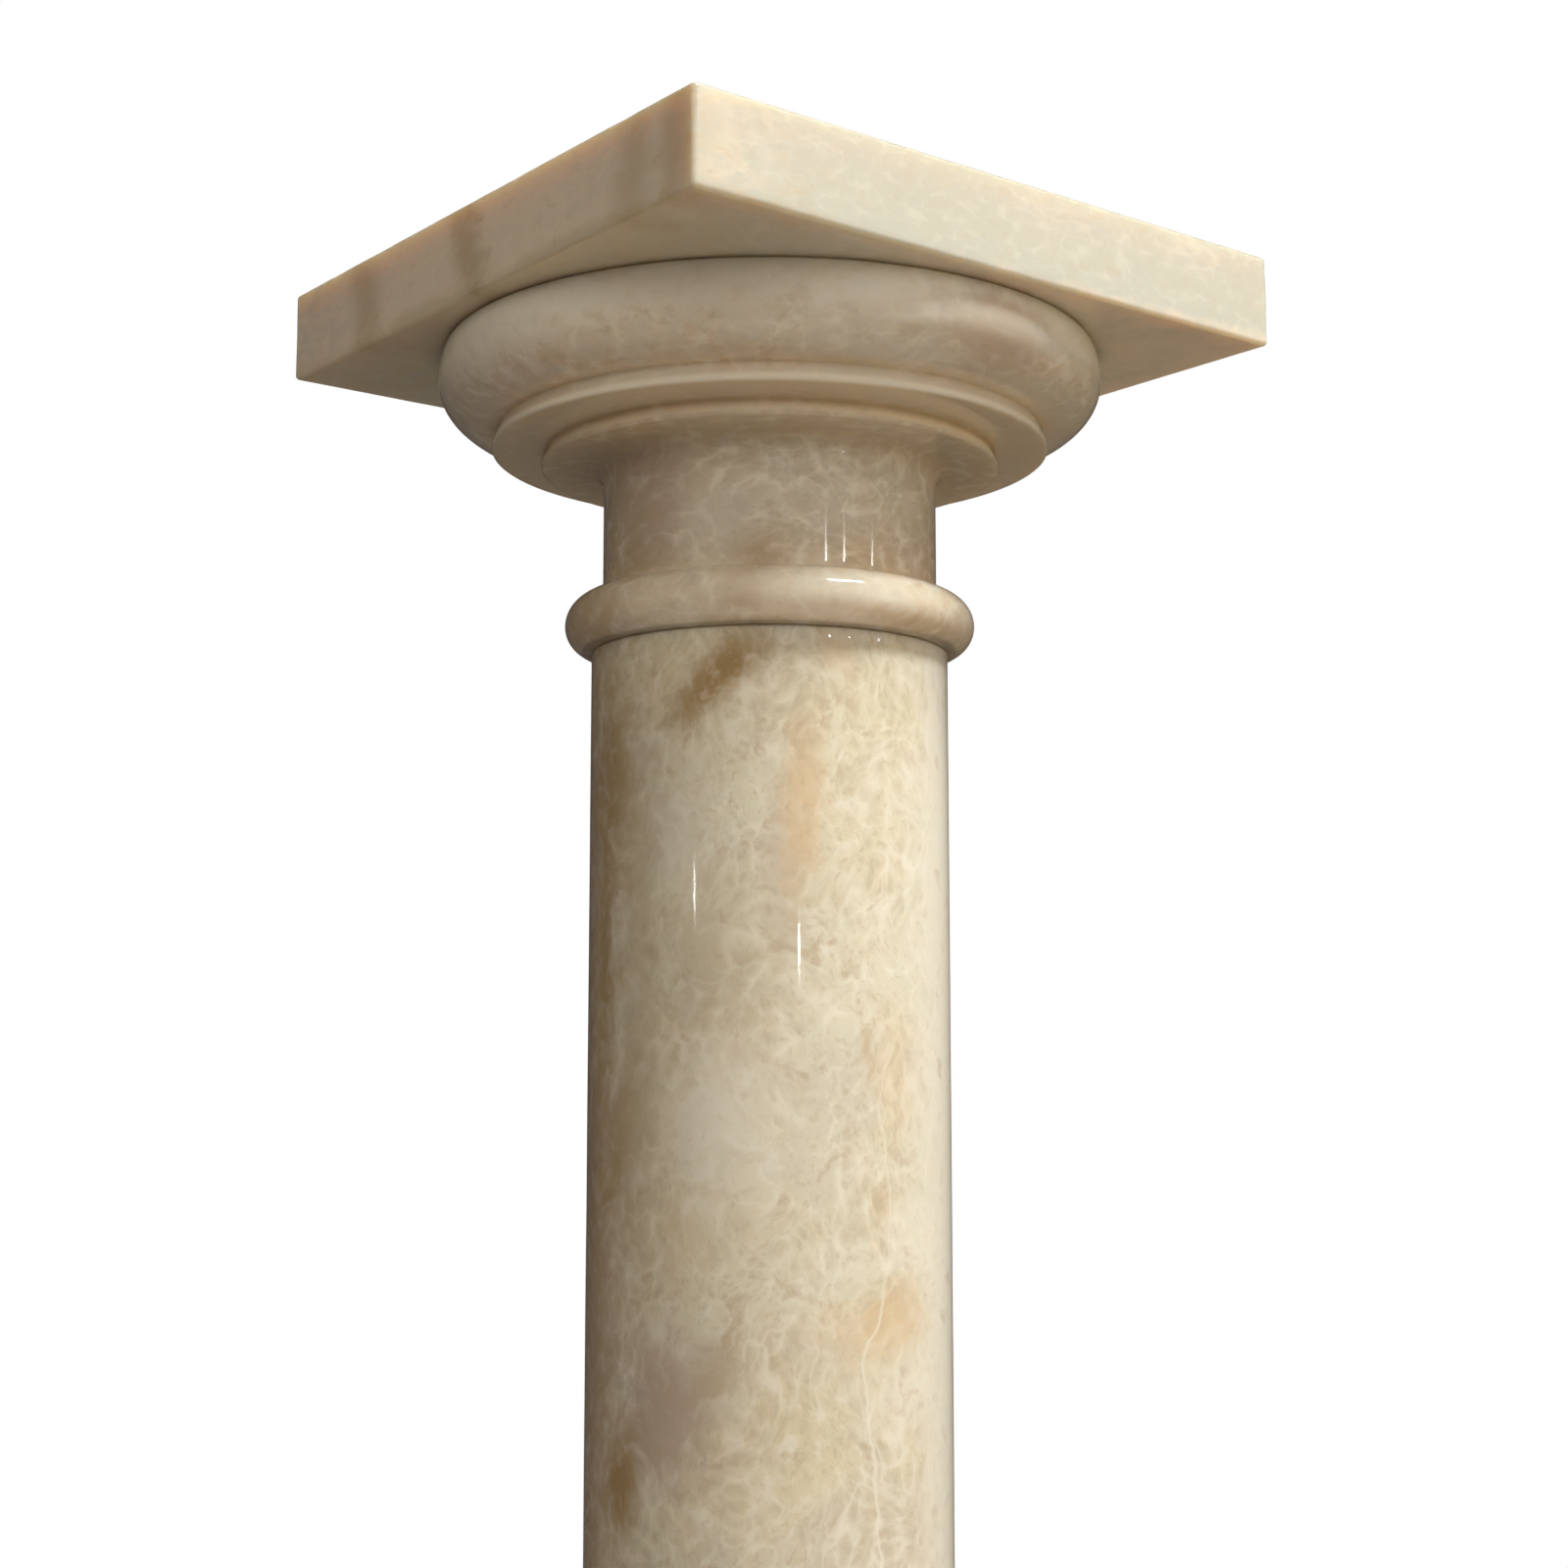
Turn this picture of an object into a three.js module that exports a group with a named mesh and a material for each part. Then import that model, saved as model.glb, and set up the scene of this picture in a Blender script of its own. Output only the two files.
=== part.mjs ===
// A turned stone pedestal column: a square plinth, a turned base, a plain round shaft,
// a turned capital with an astragal ring, a short neck, two fillets and an echinus roll,
// and a square abacus slab on top. Millimetres, +Z up, origin under the middle of the plinth.
import * as THREE from 'three';

// Overall sizes
const TOTAL_HEIGHT = 1000;
const SLAB_SIDE = 250;
const ABACUS_THICKNESS = 32;
const PLINTH_THICKNESS = 36;
const CAPITAL_HEIGHT = 107;
const BASE_HEIGHT = 66;
const SHAFT_RADIUS = 63;

// Eased edges of the two square slabs, as the polisher leaves them
const SLAB_EDGE = 1.5;
const SLAB_CORNER = 2.5;
const SLAB_EDGE_STEPS = 2;
const SLAB_CORNER_STEPS = 3;

// Capital, measured up from its joint with the shaft
const RING_RADIUS = 72.5;
const RING_MIDDLE = 9.5;
const RING_TOP = 20;
const RING_TOP_RADIUS = 62;
const NECK_RADIUS = 59.2;
const NECK_COVE = 5;
const FILLET_SLOPE = 2.5;
const LOWER_FILLET_RADIUS = 82;
const LOWER_FILLET_BOTTOM = 66;
const UPPER_FILLET_RADIUS = 99.5;
const UPPER_FILLET_BOTTOM = 72;
const UPPER_FILLET_TOP = 79;
const ROLL_RADIUS = 118;
const ROLL_MIDDLE = 95.5;
const ROLL_TOP_RADIUS = 115;

// Base, measured up from the top of the plinth
const TORUS_RADIUS = 118;
const TORUS_EDGE_RADIUS = 104;
const TORUS_HEIGHT = 34;
const FOOT_FILLET_RADIUS = 92;
const FOOT_FILLET_TOP = 41;
const FOOT_COVE_RADIUS = 70;
const FOOT_COVE_LEDGE = 2;
const FOOT_COVE_TOP = 59;

// Fineness of the turned work
const TURN_STEPS = 56;
const BEAD_STEPS = 6;
const COVE_STEPS = 4;
const ROLL_STEPS = 9;
const CLOSING_STEPS = 4;

// Heights of the joints between the pieces
const BASE_Z = PLINTH_THICKNESS;
const SHAFT_Z = BASE_Z + BASE_HEIGHT;
const ABACUS_Z = TOTAL_HEIGHT - ABACUS_THICKNESS;
const CAPITAL_Z = ABACUS_Z - CAPITAL_HEIGHT;
const SHAFT_LENGTH = CAPITAL_Z - SHAFT_Z;

const QUARTER = Math.PI / 2;

function point(radius, height) {
  return new THREE.Vector2(radius, height);
}

// Part of an ellipse in the turning profile, from one angle to another
function arc(radius, height, wide, tall, from, to, steps) {
  const clockwise = to < from;
  return new THREE.EllipseCurve(radius, height, wide, tall, from, to, clockwise).getPoints(steps);
}

// A profile turned about the vertical axis, standing on height z
function turned(profile, z) {
  const geometry = new THREE.LatheGeometry(profile, TURN_STEPS);
  geometry.rotateX(QUARTER);
  geometry.translate(0, 0, z);
  return geometry;
}

// A square slab with every edge eased
function easedSlab(thickness, z) {
  const inner = SLAB_SIDE / 2 - SLAB_CORNER;
  const corners = [[inner, inner], [-inner, inner], [-inner, -inner], [inner, -inner]];
  const outline = new THREE.Shape();
  corners.forEach(([x, y], turn) => {
    outline.absarc(x, y, SLAB_CORNER, turn * QUARTER, (turn + 1) * QUARTER, false);
  });
  outline.closePath();
  const geometry = new THREE.ExtrudeGeometry(outline, {
    depth: thickness - 2 * SLAB_EDGE,
    curveSegments: SLAB_CORNER_STEPS,
    bevelThickness: SLAB_EDGE,
    bevelSize: SLAB_EDGE,
    bevelOffset: -SLAB_EDGE,
    bevelSegments: SLAB_EDGE_STEPS,
  });
  geometry.translate(0, 0, z + SLAB_EDGE);
  return geometry;
}

function capitalProfile() {
  const ringLow = RING_RADIUS - SHAFT_RADIUS;
  const ringHigh = RING_RADIUS - RING_TOP_RADIUS;
  const coveRadius = NECK_RADIUS + NECK_COVE;
  const coveHeight = LOWER_FILLET_BOTTOM - NECK_COVE;
  const creaseRadius = UPPER_FILLET_RADIUS - FILLET_SLOPE;
  const rollReach = ROLL_RADIUS - creaseRadius;
  const rollDepth = ROLL_MIDDLE - UPPER_FILLET_TOP;
  const closingReach = ROLL_RADIUS - ROLL_TOP_RADIUS;
  const closingRise = CAPITAL_HEIGHT - ROLL_MIDDLE;
  return [
    point(0, 0),
    ...arc(SHAFT_RADIUS, RING_MIDDLE, ringLow, RING_MIDDLE, -QUARTER, 0, BEAD_STEPS),
    ...arc(RING_TOP_RADIUS, RING_MIDDLE, ringHigh, RING_TOP - RING_MIDDLE, 0, QUARTER, BEAD_STEPS).slice(1),
    point(NECK_RADIUS, RING_TOP),
    ...arc(coveRadius, coveHeight, NECK_COVE, NECK_COVE, 2 * QUARTER, QUARTER, COVE_STEPS),
    point(LOWER_FILLET_RADIUS, LOWER_FILLET_BOTTOM),
    point(LOWER_FILLET_RADIUS - FILLET_SLOPE, UPPER_FILLET_BOTTOM),
    point(UPPER_FILLET_RADIUS, UPPER_FILLET_BOTTOM),
    ...arc(creaseRadius, ROLL_MIDDLE, rollReach, rollDepth, -QUARTER, 0, ROLL_STEPS),
    ...arc(ROLL_TOP_RADIUS, ROLL_MIDDLE, closingReach, closingRise, 0, QUARTER, CLOSING_STEPS).slice(1),
    point(0, CAPITAL_HEIGHT),
  ];
}

function shaftProfile() {
  return [
    point(0, 0),
    point(SHAFT_RADIUS, 0),
    point(SHAFT_RADIUS, SHAFT_LENGTH),
    point(0, SHAFT_LENGTH),
  ];
}

function baseProfile() {
  const torusReach = TORUS_RADIUS - TORUS_EDGE_RADIUS;
  const torusMiddle = TORUS_HEIGHT / 2;
  const coveWide = FOOT_FILLET_RADIUS - FOOT_COVE_LEDGE - FOOT_COVE_RADIUS;
  const coveTall = FOOT_COVE_TOP - FOOT_FILLET_TOP;
  return [
    point(0, 0),
    ...arc(TORUS_EDGE_RADIUS, torusMiddle, torusReach, torusMiddle, -QUARTER, QUARTER, 2 * BEAD_STEPS),
    point(FOOT_FILLET_RADIUS, TORUS_HEIGHT),
    point(FOOT_FILLET_RADIUS, FOOT_FILLET_TOP),
    ...arc(
      FOOT_COVE_RADIUS + coveWide, FOOT_COVE_TOP, coveWide, coveTall,
      3 * QUARTER, 2 * QUARTER, BEAD_STEPS,
    ),
    point(FOOT_COVE_RADIUS, BASE_HEIGHT),
    point(0, BASE_HEIGHT),
  ];
}

// Polished honey-coloured onyx, a shade of its own for each piece
function polishedStone(colour, roughness) {
  return new THREE.MeshStandardMaterial({ color: colour, roughness, metalness: 0 });
}

function piece(name, geometry, material) {
  const mesh = new THREE.Mesh(geometry, material);
  mesh.name = name;
  return mesh;
}

const column = new THREE.Group();
column.name = 'column';
column.add(
  piece('plinth', easedSlab(PLINTH_THICKNESS, 0), polishedStone('#d6c39c', 0.3)),
  piece('base', turned(baseProfile(), BASE_Z), polishedStone('#cbb793', 0.28)),
  piece('shaft', turned(shaftProfile(), SHAFT_Z), polishedStone('#d4c2a0', 0.25)),
  piece('capital', turned(capitalProfile(), CAPITAL_Z), polishedStone('#c4b08d', 0.28)),
  piece('abacus', easedSlab(ABACUS_THICKNESS, ABACUS_Z), polishedStone('#dccba4', 0.3)),
);

export default column;
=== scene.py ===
"""A polished onyx pedestal column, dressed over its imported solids, and the plain studio it stands in."""

import math
from typing import NamedTuple

import bmesh
import bpy
from bpy.props import FloatProperty, FloatVectorProperty, IntProperty, PointerProperty
from bpy.types import NodeSocket, Operator, Panel, PropertyGroup
from mathutils import Color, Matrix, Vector, noise


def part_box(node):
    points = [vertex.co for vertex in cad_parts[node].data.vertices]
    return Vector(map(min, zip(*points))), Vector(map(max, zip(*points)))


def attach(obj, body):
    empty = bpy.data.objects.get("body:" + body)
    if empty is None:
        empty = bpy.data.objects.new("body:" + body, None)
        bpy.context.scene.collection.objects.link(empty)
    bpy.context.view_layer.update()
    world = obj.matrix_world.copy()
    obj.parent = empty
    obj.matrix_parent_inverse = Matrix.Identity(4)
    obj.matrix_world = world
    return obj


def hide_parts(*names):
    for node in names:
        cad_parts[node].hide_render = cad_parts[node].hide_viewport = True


bl_info = {
    "name": "Onyx Pedestal Column",
    "version": (1, 0, 0),
    "blender": (4, 5, 0),
    "location": "View3D > Sidebar > Column",
    "description": "Builds a polished onyx pedestal column and the plain studio it stands in",
    "category": "Object",
}

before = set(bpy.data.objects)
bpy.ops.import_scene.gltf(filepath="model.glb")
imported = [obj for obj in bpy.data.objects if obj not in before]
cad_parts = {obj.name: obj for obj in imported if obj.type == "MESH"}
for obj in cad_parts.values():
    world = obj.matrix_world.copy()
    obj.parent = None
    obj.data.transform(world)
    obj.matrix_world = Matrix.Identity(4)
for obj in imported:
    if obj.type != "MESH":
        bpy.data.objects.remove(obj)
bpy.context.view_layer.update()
BODY = "root"
QUARTER = math.pi / 2


# Settings

def length(name, description, default):
    """A size in metres."""
    return FloatProperty(
        name=name, description=description, default=default, min=0.0,
        precision=4, subtype="DISTANCE", unit="LENGTH",
    )


def angle(name, description, degrees):
    """An angle, given in degrees."""
    return FloatProperty(
        name=name, description=description, default=math.radians(degrees),
        subtype="ANGLE", unit="ROTATION",
    )


def colour(name, description, default):
    """A scene colour."""
    return FloatVectorProperty(
        name=name, description=description, default=default, size=3, min=0.0, max=1.0, subtype="COLOR",
    )


def share(name, description, default):
    """A number from 0 to 1."""
    return FloatProperty(
        name=name, description=description, default=default, min=0.0, max=1.0, subtype="FACTOR",
    )


def height_of(node):
    """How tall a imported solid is."""
    low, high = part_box(node)
    return high.z - low.z


def radius_of(node):
    """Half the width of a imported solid."""
    low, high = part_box(node)
    return (high.x - low.x) / 2


class SlabSettings(PropertyGroup):
    """The abacus and the plinth."""
    edge: length("Eased edge", "Radius of every edge of the square slabs", 0.0015)
    grid: length("Mesh step", "Spacing of the mesh on the flat faces", 0.004)
    nibble: length("Edge wear", "Deepest wear along the edges", 0.0004)


class TurningSettings(PropertyGroup):
    """What all the turned pieces share."""
    around: IntProperty(name="Steps around", description="Mesh steps in one turn", default=256, min=32)
    step: length("Mesh step", "Longest mesh step along a moulded profile", 0.0016)
    plain_step: length("Plain mesh step", "Longest mesh step along the straight shaft", 0.004)
    arris: length("Arris", "Radius of the eased ends of the shaft", 0.0008)
    ripple: length("Ripple", "Height of the slow ripple left by hand polishing", 0.00006)


class CapitalSettings(PropertyGroup):
    """Heights are measured up from the joint with the shaft."""
    arris: length("Arris", "Radius of the eased edges of the fillets", 0.0017)
    ring_radius: length("Ring radius", "Widest radius of the astragal ring", 0.0725)
    ring_middle: length("Ring middle", "Height of the ring's widest line", 0.0095)
    ring_top: length("Ring top", "Height of the ring's upper edge", 0.020)
    ring_top_radius: length("Ring top radius", "Radius where the ring's upper curve ends", 0.062)
    neck_radius: length("Neck radius", "Radius of the neck above the ring", 0.0592)
    neck_cove: length("Neck cove", "Radius of the hollow where the neck meets the fillet", 0.005)
    fillet_slope: length("Fillet slope", "How far a fillet's lower edge stands out beyond the upper", 0.0025)
    lower_fillet_radius: length("Lower fillet radius", "Widest radius of the lower fillet", 0.082)
    lower_fillet_bottom: length("Lower fillet bottom", "Height of the lower fillet's underside", 0.066)
    upper_fillet_radius: length("Upper fillet radius", "Widest radius of the upper fillet", 0.0995)
    upper_fillet_bottom: length("Upper fillet bottom", "Height of the upper fillet's underside", 0.072)
    upper_fillet_top: length("Upper fillet top", "Height of the crease under the roll", 0.079)
    roll_middle: length("Roll middle", "Height of the echinus roll's widest line", 0.0955)
    roll_top_radius: length("Roll top radius", "Radius of the roll where it meets the abacus", 0.115)


class BaseSettings(PropertyGroup):
    """Heights are measured up from the top of the plinth."""
    arris: length("Arris", "Radius of the eased edges of the fillets", 0.0017)
    torus_edge_radius: length("Torus edge radius", "Radius of the torus at its two edges", 0.104)
    torus_height: length("Torus height", "Height of the torus", 0.034)
    fillet_radius: length("Fillet radius", "Radius of the fillet on the torus", 0.092)
    fillet_top: length("Fillet top", "Height of the fillet's upper edge", 0.041)
    cove_ledge: length("Cove ledge", "Width of the flat between the fillet and the cove", 0.002)
    cove_radius: length("Cove radius", "Radius where the cove ends under the shaft", 0.070)
    cove_top: length("Cove top", "Height of the cove's upper end", 0.059)


class StoneSettings(PropertyGroup):
    """Colours, pattern sizes and strengths of the onyx."""
    cloud_size: length("Cloud size", "Size of the broad changes of body colour", 0.075)
    patch_size: length("Patch size", "Size of the grey patches", 0.045)
    vein_size: length("Vein size", "Size of the loops of the pale veins and of the rose patches", 0.030)
    felt_size: length("Felt size", "Size of the curls in the fine pale threads", 0.0085)
    speck_size: length("Speck size", "Spacing of the small olive specks", 0.0050)
    grain_size: length("Grain size", "Size of the finest olive grain", 0.0022)
    ragged: length("Ragged edge", "How far the outline of a stain wanders", 0.010)
    speckle: share("Speckle", "How strongly the olive specks show", 0.52)
    graining: share("Graining", "How strongly the finest grain shows", 0.42)
    net: share("Net", "How strongly the pale net round the specks shows", 0.58)
    upper_net: share("Upper net", "How strongly the same net shows over the stains", 0.20)
    threads: share("Threads", "How strongly the fine curling threads show", 0.20)
    veining: share("Veining", "How strongly the looping veins show", 0.45)
    long_vein: share("Long vein", "How strongly the long vein of the shaft shows", 0.65)
    # The joint lines are also painted contact shade between the pieces
    joint_and_shade: share("Jointing", "How strongly the joint lines show", 0.4)
    cream: colour("Cream", "Palest body of the stone", (0.80, 0.755, 0.57))
    honey: colour("Honey", "Warmer body of the stone", (0.77, 0.69, 0.48))
    grey: colour("Grey", "Cloudy grey patches", (0.70, 0.655, 0.525))
    rose: colour("Rose", "Soft pinkish patches", (0.77, 0.63, 0.44))
    # Mauve is also painted shade on the capital: over the lit patch on the roll's right and on the left of
    # neck and ring
    mauve: colour("Mauve", "Greyish rose clouds", (0.54, 0.43, 0.32))
    peach: colour("Peach", "Orange clouds", (0.76, 0.58, 0.35))
    # Olive is also painted shade: on the slabs' tops and lower left edges, and under the capital's fillets
    olive: colour("Olive", "Translucent olive specks and duller faces", (0.58, 0.50, 0.33))
    rust: colour("Rust", "Brown smudges and streaks", (0.43, 0.30, 0.14))
    pale: colour("Pale", "Pale body of the square slabs", (0.63, 0.61, 0.495))
    # This pale tint is painted light on the slabs' left face and round a lower corner, and partly on the ring
    shell_and_light: colour("Shell", "Pale pinkish tint of the ring and the square slabs", (0.93, 0.80, 0.60))
    # The vein colour also paints the sheen on the roll's upper half, the highlights on the fillet noses and a
    # lit patch on the ring
    vein: colour("Vein", "Pale veins, net and lighter zones", (0.90, 0.86, 0.71))
    # The joint colour also paints contact shade where the pieces meet
    joint: colour("Joint", "Dark line in the joints between pieces", (0.10, 0.07, 0.045))


class StageSettings(PropertyGroup):
    """The studio and the camera."""
    floor_radius: length("Floor radius", "Radius where the floor has faded away", 1.0)
    floor_solid: share("Solid floor", "Share of that radius where the floor starts to fade", 0.45)
    floor_colour: colour("Floor", "Plain pale floor", (0.64, 0.58, 0.50))
    backdrop: colour("Backdrop", "Plain backdrop behind the column", (1.0, 1.0, 1.0))
    sky: colour("Sky", "Soft light from above", (0.02, 0.025, 0.09))
    ground: colour("Ground", "Soft light from below", (0.06, 0.044, 0.040))
    sheen: colour("Sheen", "Cool sky mirrored in the polish", (0.60, 0.74, 1.00))
    brightness: FloatProperty(
        name="Brightness", description="Strength of all the lamps together", default=1.0, min=0.0,
    )
    view_azimuth: angle("View azimuth", "Direction the camera stands in", -37.83)
    view_aside: angle("View aside", "How far the camera turns off the column's axis", 0.346)
    view_pitch: angle("View pitch", "How far the camera looks up", 6.847)
    view_distance: length("View distance", "From the camera to the column's axis", 0.8455)
    view_height: length("View height", "Height of the camera over the floor", 0.7139)
    lens: FloatProperty(
        name="Lens", description="Focal length on a 36 mm sensor", default=55.42, min=1.0,
        subtype="DISTANCE_CAMERA", unit="CAMERA",
    )


class ColumnSettings(PropertyGroup):
    """All settings of the column."""
    slab: PointerProperty(type=SlabSettings)
    turning: PointerProperty(type=TurningSettings)
    capital: PointerProperty(type=CapitalSettings)
    base: PointerProperty(type=BaseSettings)
    stone: PointerProperty(type=StoneSettings)
    stage: PointerProperty(type=StageSettings)


# Outlines of the turned pieces

# A corner that turns by more than this gets an arris, which takes at most this share of an edge
SHARP_TURN = math.radians(25)
LONGEST_EASING = 0.45
EASING_STEPS = 4


def arc(radius, height, wide, tall, start, end, steps):
    """Points on part of an ellipse, as radius and height."""
    turns = [start + (end - start) * k / steps for k in range(steps + 1)]
    return [Vector((radius + wide * math.cos(t), height + tall * math.sin(t))) for t in turns]


def at(radius, height):
    """One point of an outline."""
    return Vector((radius, height))


def eased(outline, arris):
    """The outline with each sharp corner rounded to a small arris, a shorter one beside a short edge."""
    out = [outline[0]]
    for before, corner, after in zip(outline, outline[1:], outline[2:]):
        back, ahead = before - corner, after - corner
        if math.pi - back.angle(ahead) < SHARP_TURN:
            out.append(corner)
            continue
        reach = min(arris, back.length * LONGEST_EASING, ahead.length * LONGEST_EASING)
        first = corner + back.normalized() * reach
        last = corner + ahead.normalized() * reach
        for k in range(EASING_STEPS + 1):
            t = k / EASING_STEPS
            out.append(first * (1 - t) ** 2 + corner * (2 * t * (1 - t)) + last * t ** 2)
    out.append(outline[-1])
    return out


def dense(outline, step):
    """The outline with every stretch longer than a step divided evenly."""
    out = [outline[0]]
    for a, b in zip(outline, outline[1:]):
        parts = max(1, math.ceil((b - a).length / step))
        out.extend(a.lerp(b, k / parts) for k in range(1, parts + 1))
    return out


def capital_outline(sizes, shaft_radius, roll_radius, height):
    """Ring, neck, two fillets and echinus roll, from the joint up."""
    s = sizes
    ring_low = s.ring_radius - shaft_radius
    ring_high, ring_rise = s.ring_radius - s.ring_top_radius, s.ring_top - s.ring_middle
    cove = s.neck_cove
    crease = s.upper_fillet_radius - s.fillet_slope
    reach, depth = roll_radius - crease, s.roll_middle - s.upper_fillet_top
    shoulder, rise = roll_radius - s.roll_top_radius, height - s.roll_middle
    return [
        at(0, 0),
        *arc(shaft_radius, s.ring_middle, ring_low, s.ring_middle, -QUARTER, 0, steps=14),
        *arc(s.ring_top_radius, s.ring_middle, ring_high, ring_rise, 0, QUARTER, steps=14)[1:],
        at(s.neck_radius, s.ring_top),
        *arc(s.neck_radius + cove, s.lower_fillet_bottom - cove, cove, cove, 2 * QUARTER, QUARTER, steps=8),
        at(s.lower_fillet_radius, s.lower_fillet_bottom),
        at(s.lower_fillet_radius - s.fillet_slope, s.upper_fillet_bottom),
        at(s.upper_fillet_radius, s.upper_fillet_bottom),
        *arc(crease, s.roll_middle, reach, depth, -QUARTER, 0, steps=24),
        *arc(s.roll_top_radius, s.roll_middle, shoulder, rise, 0, QUARTER, steps=12)[1:],
        at(0, height),
    ]


def base_outline(sizes, torus_radius, height):
    """Torus, fillet and cove, from the plinth up."""
    s = sizes
    middle = s.torus_height / 2
    swell = torus_radius - s.torus_edge_radius
    wide, tall = s.fillet_radius - s.cove_ledge - s.cove_radius, s.cove_top - s.fillet_top
    return [
        at(0, 0),
        *arc(s.torus_edge_radius, middle, swell, middle, -QUARTER, QUARTER, steps=32),
        at(s.fillet_radius, s.torus_height),
        at(s.fillet_radius, s.fillet_top),
        *arc(s.cove_radius + wide, s.cove_top, wide, tall, 3 * QUARTER, 2 * QUARTER, steps=16),
        at(s.cove_radius, height),
        at(0, height),
    ]


# Meshes

# Waves in a metre of the noises that shape the surfaces
RIPPLE_WAVES = 28.0
WEAR_WAVES = 95.0
# How quickly wear sets in where an edge turns
WEAR_GAIN = 5
# Mesh lines of a slab's eased edge: degrees up to its middle, and a line beside it as a share of its radius
EDGE_TURNS = (15, 30, 45)
EDGE_SUPPORT = 0.3
# Points of a slab nearer than this share of the edge's radius are one point
SAME_POINT = 0.01


def finished(name, bm):
    """A smooth-shaded object made from a bmesh."""
    bmesh.ops.recalc_face_normals(bm, faces=bm.faces)
    mesh = bpy.data.meshes.new(name)
    bm.to_mesh(mesh)
    bm.free()
    mesh.shade_smooth()
    piece = bpy.data.objects.new(name, mesh)
    bpy.context.scene.collection.objects.link(piece)
    return piece


def turned(name, outline, bottom, arris, turning, step):
    """A closed piece turned about the column's axis, standing on height bottom."""
    around = turning.around
    bm = bmesh.new()
    rings = []
    for radius, height in dense(eased(outline, arris), step):
        spots = around if radius > 0 else 1
        ring = []
        for k in range(spots):
            turn = 2 * math.pi * k / around
            spot = Vector((radius * math.cos(turn), radius * math.sin(turn), height + bottom))
            if spots > 1:
                swell = turning.ripple * noise.noise(spot * RIPPLE_WAVES)
                spot.xy *= 1 + swell / radius
            ring.append(bm.verts.new(spot))
        rings.append(ring)
    for low, high in zip(rings, rings[1:]):
        for k in range(around):
            following = (k + 1) % around
            corners = (
                low[k % len(low)], low[following % len(low)],
                high[following % len(high)], high[k % len(high)],
            )
            # On the axis two corners are the same point, and the face is a triangle
            bm.faces.new(dict.fromkeys(corners))
    return finished(name, bm)


def slab_lines(half, edge, grid):
    """Mesh lines along one side of a slab: close together round the edge, even on the flat."""
    flat = half - edge
    parts = max(2, round(2 * flat / grid))
    lines = [-flat + 2 * flat * k / parts for k in range(parts + 1)]
    rounded = [flat + edge * math.tan(math.radians(turn)) for turn in EDGE_TURNS]
    support = flat - edge * EDGE_SUPPORT
    return sorted([-x for x in rounded] + [-support, support] + lines + rounded)


def slab_point(spot, centre, inner, sizes):
    """A point of a sharp block, measured from its centre, drawn in to the rounded and worn slab."""
    core = Vector(max(-inner[k], min(inner[k], spot[k])) for k in range(3))
    outward = (spot - core).normalized()
    rounding = 1 - max(abs(k) for k in outward)
    wear = max(0.0, noise.noise((centre + spot) * WEAR_WAVES)) * min(1.0, rounding * WEAR_GAIN)
    return centre + core + outward * (sizes.edge - wear * sizes.nibble)


def square_slab(name, low, high, sizes):
    """A closed square slab with rounded, slightly worn edges and corners."""
    centre, half = (low + high) / 2, (high - low) / 2
    inner = half - Vector((1, 1, 1)) * sizes.edge
    lines = [slab_lines(half[axis], sizes.edge, sizes.grid) for axis in range(3)]
    bm = bmesh.new()
    for axis in range(3):
        across, along = (axis + 1) % 3, (axis + 2) % 3
        for side in (-1, 1):
            grid = []
            for u in lines[across]:
                row = []
                for v in lines[along]:
                    spot = Vector()
                    spot[axis], spot[across], spot[along] = side * half[axis], u, v
                    row.append(bm.verts.new(slab_point(spot, centre, inner, sizes)))
                grid.append(row)
            for first, second in zip(grid, grid[1:]):
                for k in range(len(first) - 1):
                    bm.faces.new((first[k], first[k + 1], second[k + 1], second[k]))
    bmesh.ops.remove_doubles(bm, verts=bm.verts, dist=sizes.edge * SAME_POINT)
    return finished(name, bm)


def dress(piece, node, material):
    """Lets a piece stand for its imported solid, in its stone."""
    piece.data.materials.append(material)
    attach(piece, BODY)
    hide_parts(node)


# The stone

# Levels between which each pattern rises from nothing to its full strength
SECOND_TONE_RISE = (0.38, 0.64)
GREY_RISE = (0.46, 0.66)
ROSE_RISE = (0.56, 0.76)
SPECK_RISE = (0.70, 0.10)
SPECKLED_RISE = (0.30, 0.64)
GRAIN_RISE = (0.50, 0.72)
NET_RISE = (0.55, 0.95)
UPPER_NET_RISE = (0.60, 1.0)
THREAD_RISE = (0.05, 0.0)
VEIN_RISE = (0.020, 0.0)
VEINED_RISE = (0.40, 0.62)
STAIN_RISE = (0.0, 0.85)
# Distances from the middle of a joint, in metres, over which the dark joint line and its painted contact
# shade fade
JOINT_AND_SHADE_RISE = (0.0011, 0.0003)
# Shifts that keep the noises from following each other
PATCH_SHIFT = (3.1, 0.4, 1.7)
LOOP_SHIFT = (0.7, 5.2, 2.3)
# Share of a vein's loop by which the whole pattern is bent
LOOP_BEND = 0.7
# A stain frays by the threads' noise: the level that leaves it as it is, and how far the rest moves it
FRAY_LEVEL = 0.55
FRAY_GAIN = 1.1
# How far a stain on a turned surface reaches into the stone, and the rotation of one that lies level
STAIN_DEPTH = 0.03
LEVEL = (0, 0, 0)
# The polish, rougher where the patches are, and the light that enters the stone
ROUGHNESS = 0.035
PATCHY_ROUGHNESS = 0.05
ONYX_IOR = 1.55
GLOW_REACH = (1.0, 0.52, 0.20)

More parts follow.
